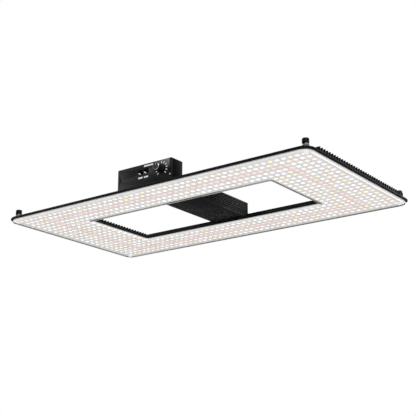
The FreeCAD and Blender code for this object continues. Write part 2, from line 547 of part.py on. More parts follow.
PIECES = {
    "lens_cover": make_lens_cover,
    "led_board": make_led_board,
    "white_leds": lambda: make_leds("white"),
    "warm_leds": lambda: make_leds("warm"),
    "red_leds": lambda: make_leds("red"),
    "cover_seals": make_cover_seals,
    "board_screws": make_board_screws,
    "heat_sink": make_heat_sink,
    "hanging_posts": make_hanging_posts,
    "post_washers": make_post_washers,
    "post_screws": make_post_screws,
    "driver_case": make_driver_case,
    "driver_front_cap": make_driver_front_cap,
    "driver_rear_cap": make_driver_rear_cap,
    "end_cap_gaskets": make_end_cap_gaskets,
    "end_cap_screws": make_end_cap_screws,
    "driver_foot_screws": make_driver_foot_screws,
    "driver_pads": make_driver_pads,
    "driver_circuit_board": make_driver_circuit_board,
    "driver_transformer": make_driver_transformer,
    "driver_choke": make_driver_choke,
    "driver_capacitors": make_driver_capacitors,
    "blank_label": make_blank_label,
    "control_box_shell": make_control_box_shell,
    "control_panel": make_control_panel,
    "panel_screws": make_panel_screws,
    "box_screws": make_box_screws,
    "control_circuit_board": make_control_circuit_board,
    "data_ports": make_data_ports,
    "port_contacts": make_port_contacts,
    "indicator_lens": make_indicator_lens,
    "potentiometer_body": make_potentiometer_body,
    "potentiometer_nut": make_potentiometer_nut,
    "dimmer_shaft": make_dimmer_shaft,
    "dimmer_knob": make_dimmer_knob,
    "knob_cap": make_knob_cap,
    "knob_pointer": pointer_bar,
    "lead_grommet": make_lead_grommet,
    "output_lead": make_output_lead,
    "board_terminal": make_board_terminal,
    "cable_gland": make_cable_gland,
    "gland_nut": make_gland_nut,
}

os.makedirs("parts", exist_ok=True)
for name, make in PIECES.items():
    save(name, make())
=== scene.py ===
import json
import math

import bmesh
import bpy
from bpy.props import FloatProperty, FloatVectorProperty, IntProperty, PointerProperty
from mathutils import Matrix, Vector


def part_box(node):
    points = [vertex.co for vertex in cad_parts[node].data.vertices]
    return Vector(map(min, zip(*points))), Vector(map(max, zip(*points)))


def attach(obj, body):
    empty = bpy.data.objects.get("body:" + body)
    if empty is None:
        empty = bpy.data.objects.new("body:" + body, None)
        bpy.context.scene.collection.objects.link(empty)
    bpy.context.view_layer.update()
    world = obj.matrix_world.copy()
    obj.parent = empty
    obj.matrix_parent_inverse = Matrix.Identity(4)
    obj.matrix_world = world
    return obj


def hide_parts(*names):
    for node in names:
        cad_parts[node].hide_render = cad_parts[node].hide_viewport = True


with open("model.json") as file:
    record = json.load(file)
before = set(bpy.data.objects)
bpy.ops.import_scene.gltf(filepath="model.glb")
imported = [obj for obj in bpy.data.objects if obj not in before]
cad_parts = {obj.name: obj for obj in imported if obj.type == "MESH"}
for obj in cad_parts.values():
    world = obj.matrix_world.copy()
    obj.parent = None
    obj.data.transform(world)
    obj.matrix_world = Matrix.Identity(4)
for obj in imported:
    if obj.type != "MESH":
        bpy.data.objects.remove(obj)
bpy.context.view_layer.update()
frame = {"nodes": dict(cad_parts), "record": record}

bl_info = {
    "name": "LED Grow Light",
    "version": (1, 0, 0),
    "blender": (4, 5, 0),
    "location": "View3D > Sidebar > Grow Light",
    "description": "Finishes a hanging LED grow light round its packed frame",
    "category": "Object",
}

MM = 0.001


# ---------------------------------------------------------------- settings
class GrowLightLamp(bpy.types.PropertyGroup):
    """Sizes and colours of the lit side."""

    package: FloatProperty(
        name="LED package", description="Side of one LED package",
        default=3.6 * MM, unit="LENGTH")
    emitter: FloatProperty(
        name="Emitter", description="Diameter of the lit face of one LED",
        default=3.3 * MM, unit="LENGTH")
    halo: FloatProperty(
        name="Halo", description="Radius of the light that spills round one LED",
        default=6.1 * MM, unit="LENGTH")
    strength: FloatProperty(
        name="Strength", description="Emission strength of one LED", default=1.5, min=0.0)
    spill: FloatProperty(
        name="Spill", description="Strength of the light on the board beside one LED",
        default=1.5, min=0.0)
    bounce: FloatVectorProperty(
        name="Bounce", description="Light spread over the whole board",
        default=(0.59, 0.56, 0.54), subtype="COLOR")
    wall: FloatProperty(
        name="Wall", description="Strength of the light carried by the cover's upright walls",
        default=0.009, min=0.0)
    white: FloatVectorProperty(
        name="White", description="Colour of the white LEDs",
        default=(1.0, 0.99, 0.97), subtype="COLOR")
    warm: FloatVectorProperty(
        name="Warm", description="Colour of the warm white LEDs",
        default=(1.0, 0.78, 0.42), subtype="COLOR")
    red: FloatVectorProperty(
        name="Red", description="Colour of the red LEDs",
        default=(1.0, 0.4, 0.36), subtype="COLOR")


class GrowLightBody(bpy.types.PropertyGroup):
    """Sizes and colours of the black metalwork."""

    edge: FloatProperty(
        name="Edge", description="Width of the softened edges",
        default=0.35 * MM, unit="LENGTH")
    anodised: FloatVectorProperty(
        name="Anodised black", description="Colour of the anodised aluminium",
        default=(0.008, 0.008, 0.0085), subtype="COLOR")
    coated: FloatVectorProperty(
        name="Coated black", description="Colour of the powder coat",
        default=(0.006, 0.006, 0.0063), subtype="COLOR")


class GrowLightMarks(bpy.types.PropertyGroup):
    """Sizes and colours of what is printed on the control panel."""

    ink: FloatVectorProperty(
        name="Ink", description="Colour of the printed marks",
        default=(0.9, 0.9, 0.9), subtype="COLOR")
    ticks: IntProperty(
        name="Ticks", description="Number of ticks round the dial", default=11, min=2)
    tick: FloatVectorProperty(
        name="Tick", description="Length, thickness and width of one tick",
        default=(3.6 * MM, 0.12 * MM, 1.4 * MM), subtype="XYZ", unit="LENGTH")
    tick_radius: FloatProperty(
        name="Tick radius", description="Dial axis to the middle of a tick",
        default=11.2 * MM, unit="LENGTH")
    bar: FloatProperty(
        name="Bar", description="Height of the dashes beside the sockets and the title",
        default=2.8 * MM, unit="LENGTH")


class GrowLightStage(bpy.types.PropertyGroup):
    """The camera and the studio."""

    lens: FloatProperty(
        name="Lens", description="Focal length on a 36 mm sensor", default=82.63, unit="CAMERA")
    distance: FloatProperty(
        name="Distance", description="Camera to the middle of the lamp",
        default=1.7609, unit="LENGTH")
    azimuth: FloatProperty(
        name="Azimuth", description="Turn of the camera round the lamp",
        default=math.radians(36.57), subtype="ANGLE")
    elevation: FloatProperty(
        name="Elevation", description="Height angle of the camera, negative from below",
        default=math.radians(-17.07), subtype="ANGLE")
    aim: FloatVectorProperty(
        name="Aim", description="Where the camera looks, from the middle of the LEDs",
        default=(9.0 * MM, 3.8 * MM, 8.1 * MM), subtype="TRANSLATION", unit="LENGTH")
    floor_drop: FloatProperty(
        name="Floor", description="How far the floor lies under the lamp",
        default=2.2, unit="LENGTH")
    paper: FloatVectorProperty(
        name="Paper", description="Colour of the floor",
        default=(0.9, 0.9, 0.9), subtype="COLOR")


SETTINGS = {"grow_lamp": GrowLightLamp, "grow_body": GrowLightBody,
            "grow_marks": GrowLightMarks, "grow_stage": GrowLightStage}


# ---------------------------------------------------------------- node helpers
def new_node(tree, kind, **values):
    """A new node with its settings."""
    node = tree.nodes.new(kind)
    for key, value in values.items():
        setattr(node, key, value)
    return node


def link(tree, source, target):
    """Joins an output to an input."""
    tree.links.new(source, target)


def feed(tree, socket, value):
    """Links an output to a socket, or sets the socket's own value."""
    if isinstance(value, bpy.types.NodeSocket):
        link(tree, value, socket)
    else:
        socket.default_value = value


def math_node(tree, operation, a, b=None, clamp=False):
    """One calculation with numbers."""
    node = new_node(tree, "ShaderNodeMath", operation=operation, use_clamp=clamp)
    feed(tree, node.inputs[0], a)
    if b is not None:
        feed(tree, node.inputs[1], b)
    return node.outputs[0]


def vector_math(tree, operation, a, b=None):
    """One calculation with vectors; a length or a dot product comes out as a number."""
    node = new_node(tree, "ShaderNodeVectorMath", operation=operation)
    feed(tree, node.inputs[0], a)
    if b is not None:
        feed(tree, node.inputs[1], b)
    return node.outputs["Value" if operation in ("LENGTH", "DOT_PRODUCT") else "Vector"]


def part_of(tree, vector, axis):
    """The X, Y or Z of a vector."""
    split = new_node(tree, "ShaderNodeSeparateXYZ")
    link(tree, vector, split.inputs[0])
    return split.outputs[axis]


def map_range(tree, value, low, high, to_low=0.0, to_high=1.0):
    """A smooth step from to_low to to_high while the value goes from low to high."""
    node = new_node(tree, "ShaderNodeMapRange", interpolation_type="SMOOTHSTEP")
    for name, number in (("From Min", low), ("From Max", high),
                         ("To Min", to_low), ("To Max", to_high)):
        node.inputs[name].default_value = number
    link(tree, value, node.inputs["Value"])
    return node.outputs[0]


def mix_colour(tree, factor, a, b):
    """Colour a where the factor is 0 and colour b where it is 1."""
    node = new_node(tree, "ShaderNodeMix", data_type="RGBA")
    feed(tree, node.inputs[0], factor)
    for socket, colour in ((node.inputs[6], a), (node.inputs[7], b)):
        plain = not isinstance(colour, bpy.types.NodeSocket)
        feed(tree, socket, (*colour[:3], 1.0) if plain else colour)
    return node.outputs[2]


def noise(tree, vector, scale, detail=3.0, roughness=0.5):
    """Soft random spots, from 0 to 1."""
    node = new_node(tree, "ShaderNodeTexNoise")
    feed(tree, node.inputs["Scale"], scale)
    node.inputs["Detail"].default_value = detail
    node.inputs["Roughness"].default_value = roughness
    link(tree, vector, node.inputs["Vector"])
    return node.outputs["Fac"]


def new_group(name, inputs, outputs):
    """An empty shader node group with named sockets, and its two end nodes."""
    tree = bpy.data.node_groups.new(name, "ShaderNodeTree")
    for label, kind, default in inputs:
        socket = tree.interface.new_socket(label, in_out="INPUT", socket_type=kind)
        if default is not None:
            socket.default_value = default
    for label, kind in outputs:
        tree.interface.new_socket(label, in_out="OUTPUT", socket_type=kind)
    return tree, new_node(tree, "NodeGroupInput"), new_node(tree, "NodeGroupOutput")


def use_group(tree, group, **values):
    """The outputs of a shader node group that is placed in a tree with its own values."""
    node = new_node(tree, "ShaderNodeGroup", node_tree=group)
    for label, value in values.items():
        feed(tree, node.inputs[label], value)
    return node.outputs


# ---------------------------------------------------------------- shared effects
def make_edge_wear():
    """A mask that is 1 where an edge is rubbed bright."""
    tree, start, end = new_group("edge wear", [
        ("Vector", "NodeSocketVector", None),
        ("Radius", "NodeSocketFloat", 0.4 * MM),
        ("Amount", "NodeSocketFloat", 0.6),
    ], [("Mask", "NodeSocketFloat")])
    bevel = new_node(tree, "ShaderNodeBevel", samples=4)
    link(tree, start.outputs["Radius"], bevel.inputs["Radius"])
    plain = new_node(tree, "ShaderNodeNewGeometry").outputs["Normal"]
    bend = vector_math(tree, "DOT_PRODUCT", bevel.outputs[0], plain)
    edge = map_range(tree, math_node(tree, "SUBTRACT", 1.0, bend), 0.02, 0.2)
    spots = noise(tree, start.outputs["Vector"], 240.0, detail=4.0, roughness=0.6)
    rubbed = math_node(tree, "MULTIPLY", edge, map_range(tree, spots, 0.45, 0.75))
    worn = math_node(tree, "MULTIPLY", rubbed, start.outputs["Amount"], clamp=True)
    link(tree, worn, end.inputs["Mask"])
    return tree


def make_grain():
    """Fine surface grain: a height for a bump, and a slow mottling for colour and roughness."""
    tree, start, end = new_group("surface grain", [
        ("Vector", "NodeSocketVector", None),
        ("Stretch", "NodeSocketVector", (1.0, 1.0, 1.0)),
        ("Scale", "NodeSocketFloat", 1500.0),
    ], [("Height", "NodeSocketFloat"), ("Mottle", "NodeSocketFloat")])
    place = start.outputs["Vector"]
    drawn = vector_math(tree, "MULTIPLY", place, start.outputs["Stretch"])
    link(tree, noise(tree, drawn, start.outputs["Scale"], detail=2.0), end.inputs["Height"])
    clouds = noise(tree, place, 38.0, detail=4.0, roughness=0.6)
    link(tree, map_range(tree, clouds, 0.3, 0.7), end.inputs["Mottle"])
    return tree


def make_dust():
    """A mask of settled dust, on faces that look up."""
    tree, start, end = new_group("settled dust", [
        ("Vector", "NodeSocketVector", None),
        ("Amount", "NodeSocketFloat", 0.3),
    ], [("Mask", "NodeSocketFloat")])
    place = start.outputs["Vector"]
    normal = new_node(tree, "ShaderNodeNewGeometry").outputs["Normal"]
    upward = map_range(tree, part_of(tree, normal, "Z"), 0.55, 0.95)
    drift = map_range(tree, noise(tree, place, 22.0, detail=5.0, roughness=0.65), 0.35, 0.8)
    specks = map_range(tree, noise(tree, place, 900.0, detail=2.0), 0.5, 0.8)
    settled = math_node(tree, "MULTIPLY", math_node(tree, "ADD", drift, specks), upward)
    mask = math_node(tree, "MULTIPLY", settled, start.outputs["Amount"], clamp=True)
    link(tree, mask, end.inputs["Mask"])
    return tree


def make_led_spill():
    """A mask of the light that spills round every place of the LED grid."""
    fall_off = 1.6
    tree, start, end = new_group("led spill", [
        ("Vector", "NodeSocketVector", None),
        ("Pitch", "NodeSocketVector", (0.0125, 0.015, 1.0)),
        ("Shift", "NodeSocketVector", (0.0, 0.0, 0.0)),
        ("Radius", "NodeSocketFloat", 4.0 * MM),
    ], [("Mask", "NodeSocketFloat")])
    pitch = start.outputs["Pitch"]
    moved = vector_math(tree, "ADD", start.outputs["Vector"], start.outputs["Shift"])
    inside = vector_math(tree, "FRACTION", vector_math(tree, "DIVIDE", moved, pitch))
    centred = vector_math(tree, "SUBTRACT", inside, (0.5, 0.5, 0.5))
    scaled = vector_math(tree, "MULTIPLY", centred, pitch)
    away = vector_math(tree, "LENGTH", vector_math(tree, "MULTIPLY", scaled, (1.0, 1.0, 0.0)))
    near = math_node(tree, "DIVIDE", away, start.outputs["Radius"])
    fade = math_node(tree, "SUBTRACT", 1.0, near, clamp=True)
    link(tree, math_node(tree, "POWER", fade, fall_off), end.inputs["Mask"])
    return tree


EFFECTS = {"edge wear": make_edge_wear, "surface grain": make_grain,
           "settled dust": make_dust, "led spill": make_led_spill}


def effect(name):
    """A shared effect, built the first time that it is asked for."""
    return bpy.data.node_groups.get(name) or EFFECTS[name]()


# ---------------------------------------------------------------- materials
BARE_METAL = (0.35, 0.35, 0.36)
TURNED_METAL = (0.5, 0.5, 0.51)
DUST = (0.32, 0.31, 0.29)
ALONG_X, ALONG_Y = (0.05, 1.0, 1.0), (1.0, 0.05, 1.0)
ROUND_A_POST = (0.2, 0.2, 1.0)


def blank_material(name):
    """A material with an empty Principled shader, and its place on the piece."""
    material = bpy.data.materials.new(name)
    material.use_nodes = True
    tree = material.node_tree
    tree.nodes.clear()
    shader = new_node(tree, "ShaderNodeBsdfPrincipled")
    output = new_node(tree, "ShaderNodeOutputMaterial")
    link(tree, shader.outputs[0], output.inputs["Surface"])
    place = new_node(tree, "ShaderNodeTexCoord").outputs["Object"]
    return material, tree, shader, place


def grain_of(tree, place, scale, stretch=(1.0, 1.0, 1.0)):
    """The Height and Mottle of the surface grain at a scale."""
    return use_group(tree, effect("surface grain"), Vector=place, Stretch=stretch, Scale=scale)


def roughen(tree, shader, mottle, low, high):
    """Roughness that wanders between two values with the mottling."""
    link(tree, map_range(tree, mottle, 0.0, 1.0, low, high), shader.inputs["Roughness"])


def bump(tree, shader, height, strength, distance):
    """Relief in the shader's Normal."""
    node = new_node(tree, "ShaderNodeBump")
    node.inputs["Strength"].default_value = strength
    node.inputs["Distance"].default_value = distance
    link(tree, height, node.inputs["Height"])
    link(tree, node.outputs[0], shader.inputs["Normal"])


def surface(name, colour, roughness, metallic=0.0, specular=0.35, grain=1500.0,
            stretch=(1.0, 1.0, 1.0), depth=0.03, mottle=0.25, wear=0.0, dust=0.0,
            glow=0.0, bare_below=None):
    """A solid finish with grain, mottling, rubbed edges and settled dust.

    depth is the height of the grain in millimetres. glow is light caught from the LEDs.
    Below the height bare_below the metal is left bright.
    """
    smoother, rougher, dusty_rough = 0.05, 0.07, 0.3
    material, tree, shader, place = blank_material(name)
    grained = grain_of(tree, place, grain, stretch)
    lighter = [min(1.0, c * (1 + mottle)) for c in colour]
    shade = mix_colour(tree, grained["Mottle"], colour, lighter)
    rough = map_range(tree, grained["Mottle"], 0.0, 1.0, roughness - smoother, roughness + rougher)
    if wear:
        worn = use_group(tree, effect("edge wear"), Vector=place, Amount=wear)["Mask"]
        shade = mix_colour(tree, worn, shade, BARE_METAL)
    if bare_below:
        neck = map_range(tree, part_of(tree, place, "Z"), bare_below - 0.1 * MM, bare_below,
                         1.0, 0.0)
        shade = mix_colour(tree, neck, shade, TURNED_METAL)
    if dust:
        dusty = use_group(tree, effect("settled dust"), Vector=place, Amount=dust)["Mask"]
        shade = mix_colour(tree, dusty, shade, DUST)
        added = math_node(tree, "MULTIPLY", dusty, dusty_rough)
        rough = math_node(tree, "ADD", rough, added, clamp=True)
    link(tree, shade, shader.inputs["Base Color"])
    link(tree, rough, shader.inputs["Roughness"])
    shader.inputs["Metallic"].default_value = metallic
    shader.inputs["Specular IOR Level"].default_value = specular
    shader.inputs["Emission Color"].default_value = (glow, glow, glow, 1.0)
    shader.inputs["Emission Strength"].default_value = 1.0
    bump(tree, shader, grained["Height"], 0.5, depth * MM)
    return material


def lit(name, colour, strength):
    """A glowing face, a little deeper in colour in spots."""
    deepen = 1.25
    material, tree, shader, place = blank_material(name)
    grained = grain_of(tree, place, 900.0)
    glow = mix_colour(tree, grained["Height"], colour, [c ** deepen for c in colour])
    link(tree, glow, shader.inputs["Emission Color"])
    link(tree, glow, shader.inputs["Base Color"])
    shader.inputs["Emission Strength"].default_value = strength
    shader.inputs["Roughness"].default_value = 0.3
    return material


def board_finish(name="white_solder_mask", tint=None):
    """White solder mask with faint copper runs under it.

    With a tint, light of that colour falls on it round each LED.
    """
    mask_white, run_grey, cloud_grey = (0.66, 0.66, 0.67), (0.52, 0.52, 0.54), (0.58, 0.58, 0.6)
    leds_per_run = 3
    lamp = bpy.context.scene.grow_lamp
    material, tree, shader, place = blank_material(name)
    grained = grain_of(tree, place, 700.0)
    step_x, step_y = led_pitch()
    runs = new_node(tree, "ShaderNodeTexBrick", offset=0.5)
    for label, value in (("Scale", 1.0), ("Brick Width", step_x * leds_per_run),
                         ("Row Height", step_y), ("Mortar Size", 0.35 * MM),
                         ("Mortar Smooth", 0.4)):
        runs.inputs[label].default_value = value
    link(tree, place, runs.inputs["Vector"])
    faint = math_node(tree, "MULTIPLY", runs.outputs["Fac"], 0.5)
    clouds = math_node(tree, "MULTIPLY", grained["Mottle"], 0.35)
    mask = mix_colour(tree, faint, mask_white, run_grey)
    link(tree, mix_colour(tree, clouds, mask, cloud_grey), shader.inputs["Base Color"])
    shader.inputs["Emission Color"].default_value = (*lamp.bounce, 1.0)
    if tint:
        spill = use_group(tree, effect("led spill"), Vector=place, Pitch=(step_x, step_y, 1.0),
                          Shift=(0.5 * step_x, 0.0, 0.0), Radius=lamp.halo)["Mask"]
        bright = [base + lamp.spill * c ** 2 for base, c in zip(lamp.bounce, tint)]
        glow = mix_colour(tree, spill, list(lamp.bounce), bright)
        link(tree, glow, shader.inputs["Emission Color"])
    shader.inputs["Emission Strength"].default_value = 1.0
    roughen(tree, shader, grained["Mottle"], 0.35, 0.5)
    bump(tree, shader, runs.outputs["Fac"], 0.4, 0.04 * MM)
    return material


def cover_finish():
    """Clear sheet with a faint wipe in its gloss; its upright walls carry light from the LEDs."""
    lamp = bpy.context.scene.grow_lamp
    material, tree, shader, place = blank_material("clear_sheet")
    grained = grain_of(tree, place, 60.0)
    tone = mix_colour(tree, grained["Mottle"], (0.97, 0.975, 0.98), (0.94, 0.95, 0.955))
    link(tree, tone, shader.inputs["Base Color"])
    roughen(tree, shader, grained["Mottle"], 0.02, 0.08)
    normal = new_node(tree, "ShaderNodeNewGeometry").outputs["Normal"]
    flat = math_node(tree, "ABSOLUTE", part_of(tree, normal, "Z"))
    wall = map_range(tree, flat, 0.3, 0.8, 1.0, 0.0)
    glow = mix_colour(tree, wall, (0.0, 0.0, 0.0), [lamp.wall] * 3)
    link(tree, glow, shader.inputs["Emission Color"])
    shader.inputs["Emission Strength"].default_value = 1.0
    shader.inputs["Transmission Weight"].default_value = 1.0
    shader.inputs["IOR"].default_value = 1.25
    return material


def panel_finish():
    """Black printed foil with a painted sheen that turns it a lighter grey towards its upper right,
    with a black border beside it.
    """
    border, sheen_width, sheen_height = 4.3 * MM, 46 * MM, 20 * MM
    black, painted_sheen_grey, cloud = (0.011, 0.011, 0.012), (0.3, 0.3, 0.31), (0.03, 0.03, 0.031)
    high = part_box("control_panel")[1]
    foil_end = high.x - border
    material, tree, shader, place = blank_material("panel_foil_painted_sheen")
    grained = grain_of(tree, place, 2300.0)
    along, up = part_of(tree, place, "X"), part_of(tree, place, "Z")
    # painted sheen: a soft highlight painted into the colour, a lighter grey towards the upper right
    # corner of the foil
    right = map_range(tree, along, foil_end - sheen_width, foil_end)
    upper = map_range(tree, up, high.z - sheen_height, high.z - 1 * MM)
    printed = map_range(tree, along, foil_end - 0.2 * MM, foil_end, 1.0, 0.0)
    fade = math_node(tree, "MULTIPLY", math_node(tree, "MULTIPLY", right, upper), printed)
    # black foil where the painted sheen is 0, the painted highlight grey where it is 1
    foil = mix_colour(tree, fade, black, painted_sheen_grey)
    clouds = math_node(tree, "MULTIPLY", grained["Mottle"], 0.2)
    link(tree, mix_colour(tree, clouds, foil, cloud), shader.inputs["Base Color"])
    roughen(tree, shader, grained["Mottle"], 0.42, 0.52)
    shader.inputs["Specular IOR Level"].default_value = 0.25
    bump(tree, shader, grained["Height"], 0.5, 0.06 * MM)
    return material


def knob_cap_finish():
    """Grey satin metal with a bright cut rim and fine turning marks."""
    rim, turning_step = 0.75 * MM, 0.18 * MM
    satin, cut = (0.11, 0.11, 0.115), (0.97, 0.97, 0.97)
    low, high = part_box("knob_cap")
    axis, radius = (low + high) / 2, (high.x - low.x) / 2
    material, tree, shader, place = blank_material("spun_cap")
    grained = grain_of(tree, place, 2000.0)
    from_axis = vector_math(tree, "SUBTRACT", place, axis)
    reach = vector_math(tree, "LENGTH",
                        vector_math(tree, "MULTIPLY", from_axis, (1.0, 0.0, 1.0)))
    cut_rim = map_range(tree, reach, radius - rim - 0.1 * MM, radius - rim)
    link(tree, mix_colour(tree, cut_rim, satin, cut), shader.inputs["Base Color"])
    roughen(tree, shader, grained["Mottle"], 0.25, 0.4)
    shader.inputs["Metallic"].default_value = 1.0
    turns = math_node(tree, "MULTIPLY", reach, 2 * math.pi / turning_step)
    bump(tree, shader, math_node(tree, "SINE", turns), 0.3, 0.01 * MM)
    return material


def finishes():
    """The finish of every CAD node, by node name; a piece that replaces a node takes its finish."""
    body = bpy.context.scene.grow_body
    black, coated = list(body.anodised), list(body.coated)
    neck = 7.2 * MM
    washer_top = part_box("post_washers")[1].z
    sink = surface("anodised_fins", black, 0.42, metallic=0.1, specular=0.08, grain=1100.0,
                   stretch=ALONG_X, depth=0.04, mottle=0.5, wear=0.35, dust=0.22)
    post = surface("turned_anodised", black, 0.3, metallic=0.5, specular=0.25, grain=2600.0,
                   stretch=ROUND_A_POST, mottle=0.3, wear=0.5, bare_below=washer_top + neck)
    case = surface("ribbed_extrusion", black, 0.5, metallic=0.1, specular=0.06, grain=1100.0,
                   stretch=ALONG_Y, depth=0.01, mottle=0.2, wear=0.1, dust=0.2)
    coat = surface("powder_coat", coated, 0.5, specular=0.05, grain=1900.0,
                   depth=0.08, mottle=0.3, wear=0.3, dust=0.15)
    oxide = surface("black_oxide_screw", (0.02, 0.02, 0.02), 0.35, metallic=0.8, specular=0.5,
                    grain=3000.0, wear=0.6)
    steel = surface("nickel_screw", (0.55, 0.55, 0.56), 0.3, metallic=1.0, specular=0.5,
                    grain=3000.0, depth=0.01, mottle=0.1)
    rubber = surface("silicone_seal", (0.02, 0.02, 0.02), 0.75, specular=0.3, grain=900.0,
                     depth=0.05)
    white_seal = surface("white_seal", (0.78, 0.78, 0.78), 0.6, specular=0.3, grain=900.0,
                         depth=0.05, mottle=0.05, glow=0.18)
    white_screw = surface("white_screw", (0.7, 0.7, 0.7), 0.4, specular=0.3, grain=2000.0,
                          depth=0.02, mottle=0.05, glow=0.5)
    circuit = surface("circuit_board", (0.02, 0.13, 0.05), 0.35, specular=0.5, grain=420.0,
                      depth=0.05, mottle=0.5)
    ferrite = surface("ferrite", (0.05, 0.05, 0.055), 0.55, specular=0.4, grain=1600.0, depth=0.1)
    moulded = surface("moulded_black", (0.012, 0.012, 0.012), 0.5, specular=0.4, grain=2400.0,
                      depth=0.05)
    sleeve = surface("shrink_sleeve", (0.02, 0.03, 0.08), 0.3, specular=0.5, grain=800.0,
                     depth=0.02)
    pad = surface("thermal_pad", (0.35, 0.36, 0.38), 0.7, specular=0.3, grain=1200.0, depth=0.08)
    label = surface("foil_label", (0.5, 0.5, 0.52), 0.35, metallic=0.3, specular=0.5,
                    grain=700.0, depth=0.02)
    knob = surface("knob_plastic", (0.01, 0.01, 0.01), 0.42, specular=0.4, grain=2600.0,
                   depth=0.05, wear=0.25)
    contact = surface("gold_contact", (0.8, 0.55, 0.2), 0.25, metallic=1.0, specular=0.5,
                      grain=3000.0, depth=0.01)
    inlay = surface("pointer_inlay", (0.8, 0.8, 0.8), 0.45, specular=0.4, grain=2000.0)
    return {
        "lens_cover": cover_finish(), "led_board": board_finish(),
        "heat_sink": sink, "hanging_posts": post, "driver_case": case,
        "driver_front_cap": coat, "driver_rear_cap": coat, "control_box_shell": coat,
        "control_panel": panel_finish(),
        "cover_seals": white_seal, "end_cap_gaskets": rubber, "lead_grommet": rubber,
        "output_lead": rubber, "board_screws": white_screw, "post_screws": white_screw,
        "post_washers": steel, "potentiometer_nut": steel,
        "potentiometer_body": steel, "dimmer_shaft": steel,
        "end_cap_screws": oxide, "driver_foot_screws": oxide, "panel_screws": oxide,
        "box_screws": oxide, "driver_circuit_board": circuit, "control_circuit_board": circuit,
        "driver_transformer": ferrite, "driver_choke": ferrite,
        "driver_capacitors": sleeve, "driver_pads": pad, "blank_label": label,
        "data_ports": moulded, "board_terminal": moulded,
        "cable_gland": moulded, "gland_nut": moulded,
        "dimmer_knob": knob, "port_contacts": contact,
        "indicator_lens": lit("frosted_indicator", (0.5, 0.5, 0.52), 0.12),
        "knob_cap": knob_cap_finish(), "knob_pointer": inlay,
    }


# ---------------------------------------------------------------- pieces
def add_object(name, mesh):
    """A mesh object in the scene, at the origin."""
    obj = bpy.data.objects.new(name, mesh)
    bpy.context.scene.collection.objects.link(obj)
    return obj


def paint(obj, material):
    """Gives a piece its only material."""
    obj.data.materials.clear()
    obj.data.materials.append(material)


def keep_evaluated(obj):
    """Turns what an object's modifiers make into its plain mesh, and removes them."""
    graph = bpy.context.evaluated_depsgraph_get()
    mesh = bpy.data.meshes.new_from_object(obj.evaluated_get(graph))
    obj.modifiers.clear()
    obj.data = mesh


def body_of_node(node):
    """The body that a CAD node belongs to."""
    bodies = frame["record"]["behaviour"]["bodies"]
    return next(body for body, nodes in bodies.items() if node in nodes)


def softened(node, width, segments=2):
    """A copy of a CAD node with joined faces and rounded edges, which stands for the node."""
    merge, level = 0.002 * MM, math.radians(0.5)
    rounded_from, sharp_from = math.radians(35), math.radians(40)
    mesh = frame["nodes"][node].data.copy()
    shape = bmesh.new()
    shape.from_mesh(mesh)
    bmesh.ops.remove_doubles(shape, verts=shape.verts, dist=merge)
    bmesh.ops.dissolve_limit(shape, angle_limit=level, verts=shape.verts, edges=shape.edges)
    for face in shape.faces:
        face.smooth = True
    shape.to_mesh(mesh)
    shape.free()
    obj = add_object(node + "_finished", mesh)
    bevel = obj.modifiers.new("soft edges", "BEVEL")
    bevel.width, bevel.segments, bevel.limit_method = width, segments, "ANGLE"
    bevel.angle_limit = rounded_from
    bevel.use_clamp_overlap = True
    keep_evaluated(obj)
    obj.data.set_sharp_from_angle(angle=sharp_from)
    return obj


def turned(name, profile, centre, sides=16):
    """A round piece about an axis along Y.

    The points of the profile are (radius, depth behind the centre).
    """
    shape = bmesh.new()
    turns = [2 * math.pi * k / sides for k in range(sides)]
    rings = []
    for radius, depth in profile:
        spots = [centre + Vector((radius * math.cos(turn), depth, radius * math.sin(turn)))
                 for turn in turns]
        rings.append([shape.verts.new(spot) for spot in spots])
    for near, far in zip(rings, rings[1:]):
        for k in range(sides):
            following = (k + 1) % sides
            shape.faces.new((near[k], near[following], far[following], far[k]))
    shape.faces.new(list(reversed(rings[0])))
    shape.faces.new(rings[-1])
    bmesh.ops.recalc_face_normals(shape, faces=shape.faces)
    mesh = bpy.data.meshes.new(name)
    shape.to_mesh(mesh)
    shape.free()
    for face in mesh.polygons:
        face.use_smooth = True
    return add_object(name, mesh)


def points_object(name, points):
    """Loose points, for a geometry tree to build on."""
    mesh = bpy.data.meshes.new(name)
    mesh.from_pydata([tuple(point) for point in points], [], [])
    return add_object(name, mesh)


def grow(obj, tree, values):
    """Runs a geometry tree on obj, keeps the plain mesh that it makes and removes the modifier."""
    modifier = obj.modifiers.new("shape", "NODES")
    modifier.node_group = tree
    for item in tree.interface.items_tree:
        if item.in_out == "INPUT" and item.name in values:
            modifier[item.identifier] = values[item.name]
    keep_evaluated(obj)


# ---------------------------------------------------------------- LED grid
LED_COLUMNS, LED_ROWS = 51, 22
CAD_LED_SIDE = 3.0 * MM


def led_pitch():
    """Spacing of the LED grid along the length and across."""
    low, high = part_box("white_leds")
    return ((high.x - low.x - CAD_LED_SIDE) / (LED_COLUMNS - 1),
            (high.y - low.y - CAD_LED_SIDE) / (LED_ROWS - 1))


def led_centres(node):
    """Middle of each LED of a CAD node, worked out from its loose corner points."""
    step_x, step_y = led_pitch()
    found = {(round(vertex.co.x / step_x), math.floor(vertex.co.y / step_y))
             for vertex in frame["nodes"][node].data.vertices}
    return [(column * step_x, (row + 0.5) * step_y) for column, row in sorted(found)]


# ---------------------------------------------------------------- geometry trees
def new_geometry_tree(name, inputs):
    """An empty geometry tree with named inputs, the last one its material."""
    tree = bpy.data.node_groups.new(name, "GeometryNodeTree")
    for in_out in ("INPUT", "OUTPUT"):
        tree.interface.new_socket("Geometry", in_out=in_out, socket_type="NodeSocketGeometry")
    for label, kind in [*inputs, ("Material", "NodeSocketMaterial")]:
        tree.interface.new_socket(label, in_out="INPUT", socket_type=kind)
    return tree, new_node(tree, "NodeGroupInput"), new_node(tree, "NodeGroupOutput")


